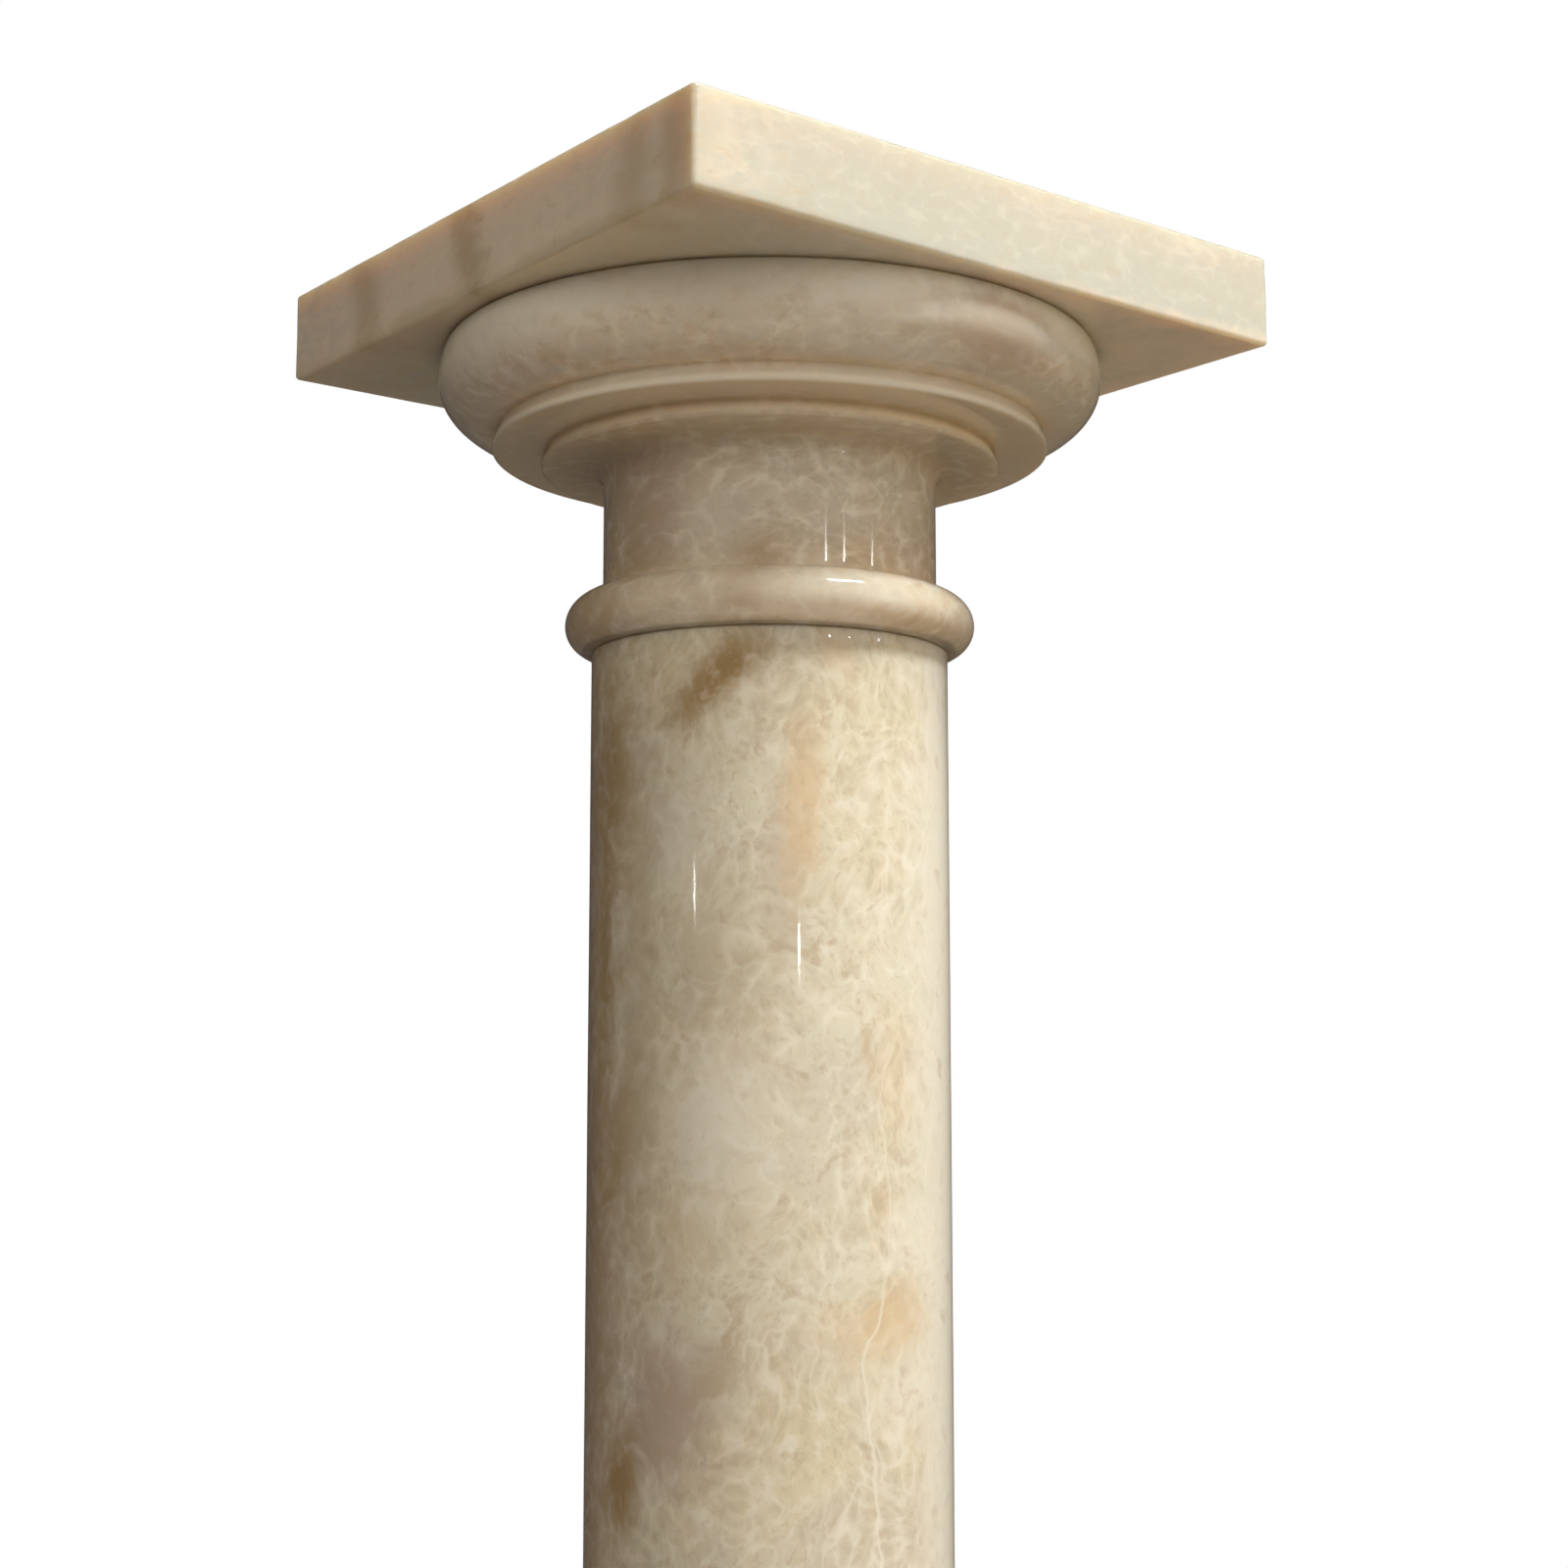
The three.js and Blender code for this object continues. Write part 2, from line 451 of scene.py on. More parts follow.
# The shaft's long vein: heights over the floor, each with its distance from the shaft's middle along X
LONG_VEIN_ROUTE = (
    (0.10, 0.004), (0.35, -0.004), (0.50, -0.002), (0.588, -0.0057), (0.615, -0.0095),
    (0.628, -0.0085), (0.636, -0.004), (0.665, 0.0008), (0.7157, -0.0012), (0.722, 0.0030),
    (0.745, 0.0058), (0.777, 0.0002), (0.86, 0.006),
)
# Where that vein shows: distance from its middle, height of its upper end, and level of the clouds
LONG_VEIN_EDGE = (0.0010, 0.0001)
LONG_VEIN_END = (0.82, 0.77)
LONG_VEIN_CLOUD = (0.20, 0.60)
# Its small wander: waves in a metre, and how far it goes
LONG_VEIN_WAVES = 90.0
LONG_VEIN_WANDER = 0.006


class Wiring:
    """Wires the nodes of one material or world."""

    def __init__(self, owner):
        owner.use_nodes = True
        self.tree = owner.node_tree
        self.tree.nodes.clear()
        self.coordinates = self.add("ShaderNodeTexCoord").outputs
        self.place = self.coordinates["Object"]

    def add(self, kind, inputs=None, **settings):
        """A new node, with a link or a value on each input that is named."""
        node = self.tree.nodes.new(kind)
        for key, value in settings.items():
            setattr(node, key, value)
        for key, value in (inputs or {}).items():
            if isinstance(value, NodeSocket):
                self.tree.links.new(value, node.inputs[key])
            elif isinstance(value, Color):
                node.inputs[key].default_value = (*value, 1.0)
            else:
                node.inputs[key].default_value = value
        return node

    def end(self, kind, shader):
        """The output node, fed by a shader."""
        self.add(kind, {"Surface": shader.outputs[0]})

    def moved(self, where, location=(0, 0, 0), rotation=(0, 0, 0), scale=(1, 1, 1), kind="POINT"):
        """A place, moved, turned and scaled."""
        inputs = {"Vector": where, "Location": location, "Rotation": rotation, "Scale": scale}
        return self.add("ShaderNodeMapping", inputs, vector_type=kind).outputs[0]

    def cloud(self, where, scale, detail=2.0, roughness=0.5, output=0):
        """Cloudy noise from 0 to 1, or with output 1 the same in three directions."""
        inputs = {"Vector": where, "Scale": scale, "Detail": detail, "Roughness": roughness}
        return self.add("ShaderNodeTexNoise", inputs).outputs[output]

    def rise(self, value, levels, top=1.0):
        """A smooth rise from nothing at the first level to the top at the second."""
        low, high = levels
        inputs = {"Value": value, "From Min": low, "From Max": high, "To Max": top}
        return self.add("ShaderNodeMapRange", inputs, interpolation_type="SMOOTHSTEP").outputs[0]

    def calc(self, kind, first, second=0.0):
        """One step of arithmetic."""
        return self.add("ShaderNodeMath", {0: first, 1: second}, operation=kind).outputs[0]

    def off(self, value, middle):
        """How far a value is from the middle, on either side."""
        return self.calc("ABSOLUTE", self.calc("SUBTRACT", value, middle))

    def fold(self, value):
        """A noise folded at its middle, so that a line runs where it is 0."""
        return self.off(value, 0.5)

    def paint(self, under, over, how_much):
        """One colour laid over another, by the mix node's colour sockets."""
        inputs = {0: how_much, 6: under, 7: over}
        return self.add("ShaderNodeMix", inputs, data_type="RGBA").outputs[2]

    def drift(self, where, scale):
        """A slow wander in all directions, about zero."""
        wander = self.cloud(where, scale, output=1)
        inputs = {0: wander, 1: (0.5, 0.5, 0.5)}
        return self.add("ShaderNodeVectorMath", inputs, operation="SUBTRACT").outputs[0]

    def pushed(self, where, drift, reach):
        """A place pushed along a drift."""
        step = self.add("ShaderNodeVectorMath", {0: drift, "Scale": reach}, operation="SCALE")
        return self.add("ShaderNodeVectorMath", {0: where, 1: step.outputs[0]}, operation="ADD").outputs[0]

    def specks(self, where, scale):
        """The distance from the nearest of many scattered points."""
        return self.add("ShaderNodeTexVoronoi", {"Vector": where, "Scale": scale}).outputs["Distance"]

    def blot(self, where, centre, rotation, size):
        """1 at the centre of an ellipsoid, down to 0 at its surface."""
        local = self.moved(where, centre, rotation, size, "TEXTURE")
        return self.add("ShaderNodeTexGradient", {"Vector": local}, gradient_type="SPHERICAL").outputs[1]


class Stain(NamedTuple):
    """One soft-edged patch of colour in the stone, with half its size each way; frayed unless it is even."""
    tone: str
    strength: float
    centre: tuple
    rotation: tuple
    size: tuple
    even: bool = False


class Block(NamedTuple):
    """The part of the quarry block that a piece is cut from.

    Offset, turn and grain say where it is, how it lies and how its pattern is scaled each way. Body names
    its two main tones. Grey, rose and felt are the strengths of its patches and of its specks, net and veins.
    Glow is the share of light that enters the stone, and depth how far that light travels, in metres.
    """
    offset: tuple
    turn: tuple = (0, 0, 0)
    grain: tuple = (1, 1, 1)
    body: tuple = ("cream", "honey")
    grey: float = 0.6
    rose: float = 0.4
    felt: float = 1.0
    glow: float = 0.4
    depth: float = 0.014


class Pattern(NamedTuple):
    """The noises that a stone is painted with, and the place where its stains are ragged."""
    ragged: NodeSocket
    cloud: NodeSocket
    patch: NodeSocket
    felt: NodeSocket
    loop: NodeSocket
    speck: NodeSocket
    grain: NodeSocket


def on_round(radius, azimuth, height):
    """A point on a turned surface, the azimuth in degrees."""
    turn = math.radians(azimuth)
    return Vector((radius * math.cos(turn), radius * math.sin(turn), height))


def round_stain(tone, strength, radius, azimuth, height, wide, tall, lean=0.0):
    """A stain on a turned surface, its top leaning towards rising azimuth."""
    rotation = (0, math.radians(lean), math.radians(azimuth + 90))
    return Stain(tone, strength, on_round(radius, azimuth, height), rotation, (wide, STAIN_DEPTH, tall))


def stone_pattern(n, block, tones):
    """The noises of one stone, bent together so that they look grown and not laid on."""
    laid = n.moved(n.place, block.offset, block.turn, block.grain)
    drift = n.drift(laid, 1 / tones.vein_size)
    where = n.pushed(laid, drift, tones.vein_size * LOOP_BEND)
    felt = n.cloud(where, 1 / tones.felt_size, detail=3.0, roughness=0.62)
    loop = n.cloud(n.moved(where, LOOP_SHIFT), 1 / tones.vein_size, roughness=0.55)
    curl = n.add("ShaderNodeCombineXYZ", {0: felt, 1: loop, 2: felt}).outputs[0]
    return Pattern(
        ragged=n.pushed(n.place, drift, tones.ragged),
        cloud=n.cloud(where, 1 / tones.cloud_size, roughness=0.55),
        patch=n.cloud(n.moved(where, PATCH_SHIFT), 1 / tones.patch_size),
        felt=felt,
        loop=loop,
        speck=n.specks(n.pushed(where, curl, tones.felt_size), 1 / tones.speck_size),
        grain=n.cloud(where, 1 / tones.grain_size),
    )


def body_paint(n, pattern, block, tones):
    """Two body tones in clouds, with grey and rose patches."""
    first, second = (getattr(tones, tone) for tone in block.body)
    paint = n.paint(first, second, n.rise(pattern.cloud, SECOND_TONE_RISE))
    paint = n.paint(paint, tones.grey, n.rise(pattern.patch, GREY_RISE, block.grey))
    return n.paint(paint, tones.rose, n.rise(pattern.loop, ROSE_RISE, block.rose))


def felt_paint(n, paint, pattern, block, tones):
    """Olive specks and grain, the pale net and threads between them, and looping veins."""
    speckled = n.rise(pattern.loop, SPECKLED_RISE, tones.speckle * block.felt)
    specks = n.calc("MULTIPLY", n.rise(pattern.speck, SPECK_RISE), speckled)
    veined = n.rise(pattern.patch, VEINED_RISE, tones.veining * block.felt)
    veins = n.calc("MULTIPLY", n.rise(n.fold(pattern.loop), VEIN_RISE), veined)
    paint = n.paint(paint, tones.olive, specks)
    paint = n.paint(paint, tones.olive, n.rise(pattern.grain, GRAIN_RISE, tones.graining * block.felt))
    paint = n.paint(paint, tones.vein, n.rise(pattern.speck, NET_RISE, tones.net * block.felt))
    paint = n.paint(paint, tones.vein, n.rise(n.fold(pattern.felt), THREAD_RISE, tones.threads * block.felt))
    return n.paint(paint, tones.vein, veins)


def stain_paint(n, paint, pattern, stains, tones):
    """Stains, one over the other; some are painted light and some painted shade."""
    fray = n.calc("MULTIPLY", n.calc("SUBTRACT", pattern.felt, FRAY_LEVEL), FRAY_GAIN)
    for stain in stains:
        where = n.place if stain.even else pattern.ragged
        reach = n.blot(where, stain.centre, stain.rotation, stain.size)
        if not stain.even:
            reach = n.calc("ADD", reach, fray)
        paint = n.paint(paint, getattr(tones, stain.tone), n.rise(reach, STAIN_RISE, stain.strength))
    return paint


def joint_and_shade_paint(n, paint, joints, tones):
    """A dark line at the height of each joint, which also stands in as painted contact shade where the pieces
    meet.
    """
    height = n.add("ShaderNodeSeparateXYZ", {0: n.place}).outputs["Z"]
    for joint in joints:
        paint = n.paint(paint, tones.joint, n.rise(n.off(height, joint), JOINT_AND_SHADE_RISE, tones.joint_and_shade))
    return paint


def onyx(name, block, stains=(), vein=None, joints=()):
    """Polished onyx: body, specks with their net and veins, stains (some of them painted light and shade), a
    fainter net over them, and joint lines that also paint contact shade.
    """
    tones = bpy.context.scene.onyx_column.stone
    material = bpy.data.materials.new(name)
    n = Wiring(material)
    pattern = stone_pattern(n, block, tones)
    paint = body_paint(n, pattern, block, tones)
    paint = felt_paint(n, paint, pattern, block, tones)
    paint = stain_paint(n, paint, pattern, stains, tones)
    paint = n.paint(paint, tones.vein, n.rise(pattern.speck, UPPER_NET_RISE, tones.upper_net * block.felt))
    if vein:
        paint = n.paint(paint, tones.vein, vein(n, pattern, tones))
    paint = joint_and_shade_paint(n, paint, joints, tones)

    surface = n.add("ShaderNodeBsdfPrincipled", {
        "Base Color": paint,
        "Roughness": n.calc("ADD", ROUGHNESS, n.calc("MULTIPLY", pattern.patch, PATCHY_ROUGHNESS)),
        "IOR": ONYX_IOR,
        "Subsurface Weight": block.glow,
        "Subsurface Radius": GLOW_REACH,
        "Subsurface Scale": block.depth,
    })
    surface.subsurface_method = "BURLEY"
    n.end("ShaderNodeOutputMaterial", surface)
    return material


def shaft_vein(n, pattern, tones):
    """How strongly one long thin vein shows, which wanders down the front of the shaft."""
    where = n.pushed(n.place, n.drift(pattern.ragged, LONG_VEIN_WAVES), LONG_VEIN_WANDER)
    x, y, z = n.add("ShaderNodeSeparateXYZ", {0: where}).outputs
    path = n.add("ShaderNodeFloatCurve", {"Value": z})
    curve = path.mapping.curves[0]
    curve.points[0].location = LONG_VEIN_ROUTE[0]
    curve.points[1].location = LONG_VEIN_ROUTE[-1]
    path.mapping.use_clip = False
    for height, aside in LONG_VEIN_ROUTE[1:-1]:
        curve.points.new(height, aside)
    path.mapping.update()
    line = n.rise(n.off(x, path.outputs[0]), LONG_VEIN_EDGE)
    line = n.calc("MULTIPLY", line, n.rise(z, LONG_VEIN_END))
    line = n.calc("MULTIPLY", line, n.calc("LESS_THAN", y))
    return n.calc("MULTIPLY", line, n.rise(pattern.cloud, LONG_VEIN_CLOUD, tones.long_vein))


def shaft_stone(radius):
    """Stone of the shaft, with its smudges and streaks."""
    def spot(tone, strength, azimuth, height, wide, tall, lean=0.0):
        return round_stain(tone, strength, radius, azimuth, height, wide, tall, lean)

    # Tone, strength, azimuth in degrees, height over the floor, half width, half height, lean in degrees
    stains = [
        spot("rust", 1.00, -142.0, 0.8455, 0.0125, 0.040, 44),
        spot("rust", 0.45, -152.0, 0.8360, 0.009, 0.018, 40),
        spot("mauve", 0.35, -123.0, 0.7750, 0.012, 0.060, -4),
        spot("peach", 0.80, -118.0, 0.8000, 0.012, 0.042, 4),
        spot("rose", 0.60, -107.0, 0.8530, 0.010, 0.022),
        spot("peach", 0.80, -85.0, 0.6350, 0.034, 0.018, -8),
        spot("peach", 0.30, -105.0, 0.6300, 0.034, 0.017, 6),
        spot("vein", 0.60, -80.0, 0.6130, 0.030, 0.018),
        spot("vein", 0.50, -80.0, 0.6600, 0.026, 0.018),
        spot("peach", 0.40, -88.0, 0.7150, 0.020, 0.034),
        spot("rust", 0.38, -143.5, 0.6190, 0.011, 0.034, 14),
        spot("rust", 0.80, 176.0, 0.8150, 0.020, 0.044),
        spot("rust", 0.65, 171.0, 0.7600, 0.009, 0.060),
        spot("rust", 0.65, -177.0, 0.6950, 0.012, 0.036, 15),
        spot("rust", 1.00, -176.0, 0.5820, 0.013, 0.036, 16),
        spot("rust", 0.60, 165.0, 0.7000, 0.028, 0.400),
        spot("vein", 0.90, -58.0, 0.7000, 0.036, 0.600),
        spot("mauve", 0.85, -159.0, 0.6060, 0.031, 0.042),
        spot("vein", 0.75, -144.0, 0.6980, 0.032, 0.046),
        spot("vein", 0.45, -156.0, 0.7900, 0.022, 0.040),
        spot("olive", 0.60, -172.0, 0.7500, 0.016, 0.160),
        spot("olive", 0.50, -142.0, 0.7500, 0.030, 0.042),
        spot("rust", 0.50, 60.0, 0.3000, 0.014, 0.050, -30),
        spot("peach", 0.50, 20.0, 0.7000, 0.034, 0.024, 10),
        spot("rust", 0.50, 110.0, 0.6200, 0.012, 0.044, 25),
        spot("peach", 0.50, -60.0, 0.3200, 0.034, 0.026, 20),
    ]
    low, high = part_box("shaft")
    block = Block((0.0, 0.0, 0.0), grain=(1.0, 1.0, 0.85), grey=0.7, rose=0.6)
    return onyx("Shaft onyx", block, stains, shaft_vein, (low.z, high.z))


def capital_stone(sizes, bottom):
    """Stone of the capital: greyer, with a brown streak through neck and ring, and girdles all round; several
    stains and girdles are painted light and shade.
    """
    neck, ring, roll = sizes.neck_radius, sizes.ring_radius, radius_of("capital")

    def smudge(tone, strength, radius, azimuth, height, wide, tall, lean=0.0):
        return round_stain(tone, strength, radius, azimuth, bottom + height, wide, tall, lean)

    def girdle(tone, strength, height, reach, tall, even=False):
        return Stain(tone, strength, (0, 0, bottom + height), LEVEL, (reach, reach, tall), even)

    # Heights are measured up from the joint with the shaft
    stains = [
        smudge("rust", 0.60, neck, -131.0, 0.022, 0.016, 0.014, 50),
        smudge("rust", 0.55, ring, -135.0, 0.012, 0.012, 0.018, 35),
        smudge("grey", 0.60, neck, -150.0, 0.036, 0.030, 0.020, 10),
        # Partly a mauve cloud and partly painted shade, darkening the left of neck and ring
        smudge("mauve", 0.80, neck, -172.0, 0.040, 0.024, 0.050),
        smudge("rust", 0.40, neck, 172.0, 0.045, 0.030, 0.060),
        # Partly the ring's warmer tone and partly painted light: a paler band round the ring, which catches
        # the lamp below the abacus
        girdle("shell_and_light", 0.45, 0.010, 0.30, 0.014),
        # Painted light: a paler patch on the front right of the ring, where the key lamp and its highlight
        # fall
        smudge("vein", 0.50, ring, -108.0, 0.012, 0.066, 0.020),
        # Partly a rust mark and partly painted shade on the ring's left
        smudge("rust", 0.55, ring, 172.0, 0.010, 0.044, 0.024),
        # Painted sheen: the upper half of the roll made paler, as if it mirrored a bright sky
        girdle("vein", 1.00, 0.102, 0.80, 0.026),
        girdle("grey", 0.90, 0.075, 0.60, 0.012),
        # Painted shade on the roll's right, over the patch that the key lamp reaches under the abacus
        smudge("mauve", 0.80, roll, -88.0, 0.094, 0.050, 0.022),
        # Painted shade under the lower and the upper fillet
        girdle("olive", 0.50, 0.065, 0.60, 0.003, even=True),
        girdle("olive", 0.90, 0.0714, 0.60, 0.0016, even=True),
        # Painted highlights: thin pale lines along the noses of the upper and the lower fillet
        girdle("vein", 0.75, 0.0735, 0.60, 0.0022, even=True),
        girdle("vein", 0.65, 0.0683, 0.60, 0.0020, even=True),
    ]
    low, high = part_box("capital")
    block = Block(
        (0.31, 0.77, 0.12), (0.5, 0.2, 0.9), (0.8, 0.8, 1.1), ("grey", "rose"),
        grey=0.9, rose=0.2, felt=1.25, glow=0.6,
    )
    return onyx("Capital onyx", block, stains, joints=(low.z, high.z))


def slab_stone(name, offset, low, high, top_shade):
    """Stone of a square slab: pale, with brown bands on one side, painted light over that side and round the
    far corner of the other, and painted shade along that side's lower edge and on top.
    """
    middle = (low.z + high.z) / 2
    band_depth, band_height = 0.03, 0.04

    def band(strength, y, wide, lean=0.0):
        rotation = (math.radians(lean), 0, 0)
        return Stain("rust", strength, (low.x, y, middle), rotation, (band_depth, wide, band_height))

    stains = [
        # Painted light: a paler pinkish cast over the left face, standing in for light reaching that side
        Stain("shell_and_light", 0.72, (low.x, 0.0, middle), LEVEL, (0.05, 0.26, 0.09)),
        # Painted shade along the left face's lower edge and under the slab's left half
        Stain("olive", 0.60, (low.x, 0.0, low.z), LEVEL, (0.12, 0.30, 0.006)),
        # Painted light round the bottom of the right face's far corner and under it
        Stain("shell_and_light", 0.80, (high.x, low.y, low.z), LEVEL, (0.20, 0.20, 0.006)),
        # Painted shade: olive darkens the top, where the lamps fall strongest
        Stain("olive", top_shade, (0, 0, high.z), LEVEL, (0.80, 0.80, 0.0016), even=True),
        band(0.50, 0.002, 0.016, -25),
        band(0.36, -0.094, 0.016, 12),
        band(0.40, 0.072, 0.016, -20),
        band(0.42, -0.116, 0.014),
    ]
    block = Block(
        offset, (0.1, 0.3, 0.2), (0.8, 0.8, 1.5), ("pale", "pale"),
        grey=0.3, rose=0.0, felt=0.3, glow=0.6, depth=0.016,
    )
    return onyx(name, block, stains)


def base_stone():
    """Stone of the base, honey and rose, without stains."""
    low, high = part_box("base")
    block = Block((1.4, 0.5, 2.2), (0.3, 0.9, 0.1), (0.8, 0.8, 1.1), ("honey", "rose"), grey=0.8)
    return onyx("Base onyx", block, joints=(low.z, high.z))


# The pieces

# Each slab's place in the quarry block, and how much painted shade darkens its top
SLABS = {
    "abacus": ((0.9, 0.2, 0.6), 0.9),
    "plinth": ((0.4, 1.6, 0.3), 0.3),
}


class COLUMN_OT_square_slabs(Operator):
    """Build the abacus and the plinth"""
    bl_idname = "column.square_slabs"
    bl_label = "Abacus and plinth"

    def execute(self, context):
        sizes = context.scene.onyx_column.slab
        for node, (offset, top_shade) in SLABS.items():
            low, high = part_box(node)
            piece = square_slab(f"{node}_slab", low, high, sizes)
            stone = slab_stone(f"{node.title()} onyx", offset, low, high, top_shade)
            dress(piece, node, stone)
        return {"FINISHED"}


class COLUMN_OT_shaft(Operator):
    """Build the plain round shaft"""
    bl_idname = "column.shaft"
    bl_label = "Shaft"

    def execute(self, context):
        turning = context.scene.onyx_column.turning
        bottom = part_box("shaft")[0].z
        radius, height = radius_of("shaft"), height_of("shaft")
        outline = [at(0, 0), at(radius, 0), at(radius, height), at(0, height)]
        piece = turned("shaft_drum", outline, bottom, turning.arris, turning, turning.plain_step)
        dress(piece, "shaft", shaft_stone(radius))
        return {"FINISHED"}


class COLUMN_OT_capital(Operator):
    """Turn the capital"""
    bl_idname = "column.capital"
    bl_label = "Capital"

    def execute(self, context):
        settings = context.scene.onyx_column
        sizes, turning = settings.capital, settings.turning
        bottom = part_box("capital")[0].z
        outline = capital_outline(sizes, radius_of("shaft"), radius_of("capital"), height_of("capital"))
        piece = turned("capital_turned", outline, bottom, sizes.arris, turning, turning.step)
        dress(piece, "capital", capital_stone(sizes, bottom))
        return {"FINISHED"}


class COLUMN_OT_base(Operator):
    """Turn the base"""
    bl_idname = "column.base"
    bl_label = "Base"

    def execute(self, context):
        settings = context.scene.onyx_column
        sizes, turning = settings.base, settings.turning
        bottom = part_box("base")[0].z
        outline = base_outline(sizes, radius_of("base"), height_of("base"))
        piece = turned("base_turned", outline, bottom, sizes.arris, turning, turning.step)
        dress(piece, "base", base_stone())
        return {"FINISHED"}


# The studio

FLOOR_SEGMENTS = 96
SENSOR_MM = 36.0
# Heights in the sky, from -1 straight down to 1 straight up, between which one colour turns to the other
SKY_RISE = (-0.15, 0.35)
SHEEN_RISE = (0.65, 0.90)


class Lamp(NamedTuple):
    """A soft square lamp; aside and up are degrees from the camera's side of the column and from level."""
    aside: float
    up: float
    far: float
    size: float
    watts: float
    tint: tuple = (1.0, 1.0, 1.0)
    mirrored: bool = True


LAMPS = {
    "key": Lamp(aside=57, up=55.9, far=2.2, size=0.56, watts=62),
    "front": Lamp(aside=0, up=14, far=2.0, size=1.2, watts=11.9, tint=(1.0, 0.955, 0.925), mirrored=False),
    "low": Lamp(aside=62, up=-18, far=2.0, size=1.6, watts=4.8, tint=(1.0, 0.6, 0.2), mirrored=False),
    "left": Lamp(aside=-36, up=30, far=2.0, size=1.6, watts=5.6, tint=(1.0, 0.80, 0.34), mirrored=False),
    "right": Lamp(aside=88, up=15, far=2.0, size=1.6, watts=7.6, tint=(1.0, 1.0, 0.85), mirrored=False),
    "top": Lamp(aside=0, up=88, far=1.5, size=1.0, watts=3),
    "back": Lamp(aside=175, up=12, far=2.4, size=1.6, watts=30, mirrored=False),
    "sparkle 1": Lamp(aside=38, up=12.4, far=3.0, size=0.05, watts=0.30),
    "sparkle 2": Lamp(aside=51, up=12.4, far=3.0, size=0.05, watts=0.24),
    "sparkle 3": Lamp(aside=73, up=12.4, far=3.0, size=0.05, watts=0.20),
    "sparkle 4": Lamp(aside=-47, up=2.7, far=3.0, size=0.04, watts=0.26),
    "sparkle 5": Lamp(aside=18, up=0.8, far=3.0, size=0.05, watts=0.38),
}


def studio_lamp(scene, name, lamp, target):
    """A lamp that faces the target."""
    stage = scene.onyx_column.stage
    data = bpy.data.lights.new(name, "AREA")
    data.size = lamp.size
    data.energy = lamp.watts * stage.brightness
    data.color = lamp.tint
    azimuth, elevation = stage.view_azimuth + math.radians(lamp.aside), math.radians(lamp.up)
    level = math.cos(elevation)
    back = Vector((math.sin(azimuth) * level, -math.cos(azimuth) * level, math.sin(elevation)))
    holder = bpy.data.objects.new(name, data)
    holder.visible_glossy = lamp.mirrored
    holder.location = target + back * lamp.far
    holder.rotation_euler = (-back).to_track_quat("-Z", "Y").to_euler()
    scene.collection.objects.link(holder)


def studio_floor(stage):
    """A pale round floor that fades into the backdrop."""
    bm = bmesh.new()
    bmesh.ops.create_circle(bm, cap_ends=True, segments=FLOOR_SEGMENTS, radius=stage.floor_radius)
    floor = finished("floor", bm)
    material = bpy.data.materials.new("Floor")
    n = Wiring(material)
    reach = n.add("ShaderNodeVectorMath", {0: n.place}, operation="LENGTH").outputs["Value"]
    fade = n.rise(reach, (stage.floor_radius * stage.floor_solid, stage.floor_radius))
    plain = n.add("ShaderNodeBsdfDiffuse", {"Color": stage.floor_colour})
    clear = n.add("ShaderNodeBsdfTransparent")
    mixed = n.add("ShaderNodeMixShader", {0: fade, 1: plain.outputs[0], 2: clear.outputs[0]})
    n.end("ShaderNodeOutputMaterial", mixed)
    floor.data.materials.append(material)


def studio_world(scene):
    """A plain backdrop, faint light all round, and a cool sky overhead for the polish to mirror."""
    stage = scene.onyx_column.stage
    scene.world = bpy.data.worlds.new("Studio")
    n = Wiring(scene.world)
    height = n.add("ShaderNodeSeparateXYZ", {0: n.coordinates["Generated"]}).outputs["Z"]
    path = n.add("ShaderNodeLightPath")
    shade = n.paint(stage.ground, stage.sky, n.rise(height, SKY_RISE))
    mirrored = n.paint(stage.ground, stage.sheen, n.rise(height, SHEEN_RISE))
    shade = n.paint(shade, mirrored, path.outputs["Is Glossy Ray"])
    light = n.add("ShaderNodeBackground", {"Color": shade})
    seen = n.add("ShaderNodeBackground", {"Color": stage.backdrop})
    mixed = n.add("ShaderNodeMixShader", {
        0: path.outputs["Is Camera Ray"], 1: light.outputs[0], 2: seen.outputs[0],
    })
    n.end("ShaderNodeOutputWorld", mixed)


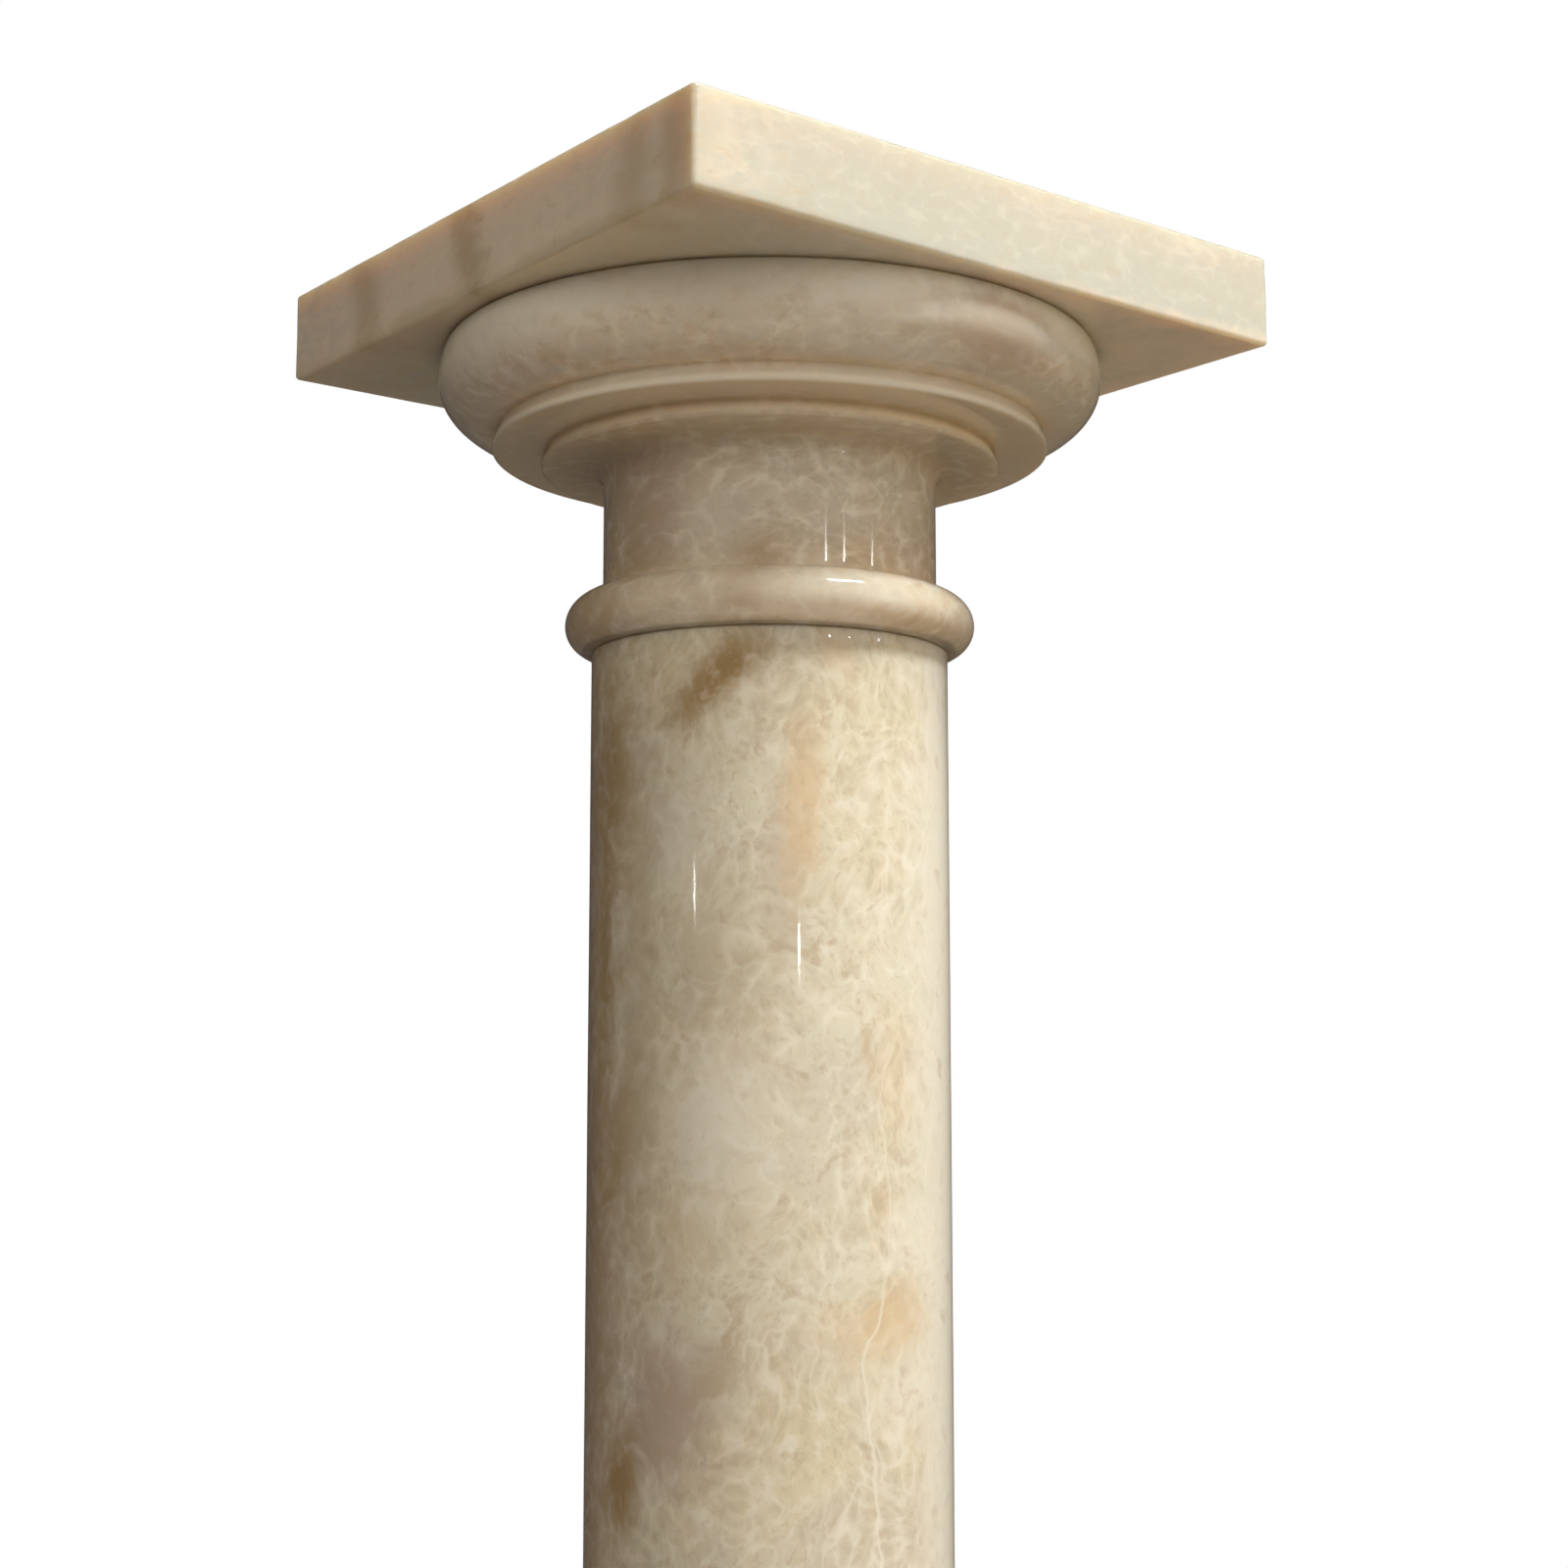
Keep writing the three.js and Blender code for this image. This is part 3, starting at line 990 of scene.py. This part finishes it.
def studio_camera(scene):
    """The camera, which looks up at the capital from the height of the upper shaft."""
    stage = scene.onyx_column.stage
    view = stage.view_azimuth
    data = bpy.data.cameras.new("camera")
    data.lens = stage.lens
    data.sensor_width = SENSOR_MM
    camera = bpy.data.objects.new("camera", data)
    camera.location = (
        math.sin(view) * stage.view_distance, -math.cos(view) * stage.view_distance, stage.view_height,
    )
    camera.rotation_euler = (QUARTER + stage.view_pitch, 0, view - stage.view_aside)
    scene.collection.objects.link(camera)
    scene.camera = camera


class COLUMN_OT_stage(Operator):
    """Set up the floor, the lamps and the camera"""
    bl_idname = "column.stage"
    bl_label = "Studio"

    def execute(self, context):
        scene = context.scene
        studio_floor(scene.onyx_column.stage)
        studio_world(scene)
        target = Vector((0, 0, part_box("capital")[0].z))
        for name, lamp in LAMPS.items():
            studio_lamp(scene, name, lamp, target)
        studio_camera(scene)
        scene.view_settings.view_transform = "Standard"
        return {"FINISHED"}


# Panel and registration

class COLUMN_PT_panel(Panel):
    """Column settings and steps"""
    bl_idname = "COLUMN_PT_panel"
    bl_label = "Onyx column"
    bl_space_type = "VIEW_3D"
    bl_region_type = "UI"
    bl_category = "Column"

    def draw(self, context):
        settings = context.scene.onyx_column
        for part in ColumnSettings.__annotations__:
            group = getattr(settings, part)
            box = self.layout.box()
            for key in group.__annotations__:
                box.prop(group, key)
        for operator in OPERATORS:
            self.layout.operator(operator.bl_idname)


GROUPS = (
    SlabSettings, TurningSettings, CapitalSettings, BaseSettings, StoneSettings, StageSettings,
    ColumnSettings,
)
OPERATORS = (COLUMN_OT_square_slabs, COLUMN_OT_shaft, COLUMN_OT_capital, COLUMN_OT_base, COLUMN_OT_stage)
CLASSES = (*GROUPS, *OPERATORS, COLUMN_PT_panel)


def register():
    for each in CLASSES:
        bpy.utils.register_class(each)
    bpy.types.Scene.onyx_column = PointerProperty(type=ColumnSettings)


def unregister():
    del bpy.types.Scene.onyx_column
    for each in reversed(CLASSES):
        bpy.utils.unregister_class(each)


def main():
    register()
    bpy.ops.column.square_slabs()
    bpy.ops.column.shaft()
    bpy.ops.column.capital()
    bpy.ops.column.base()
    bpy.ops.column.stage()


if __name__ == "__main__":
    main()
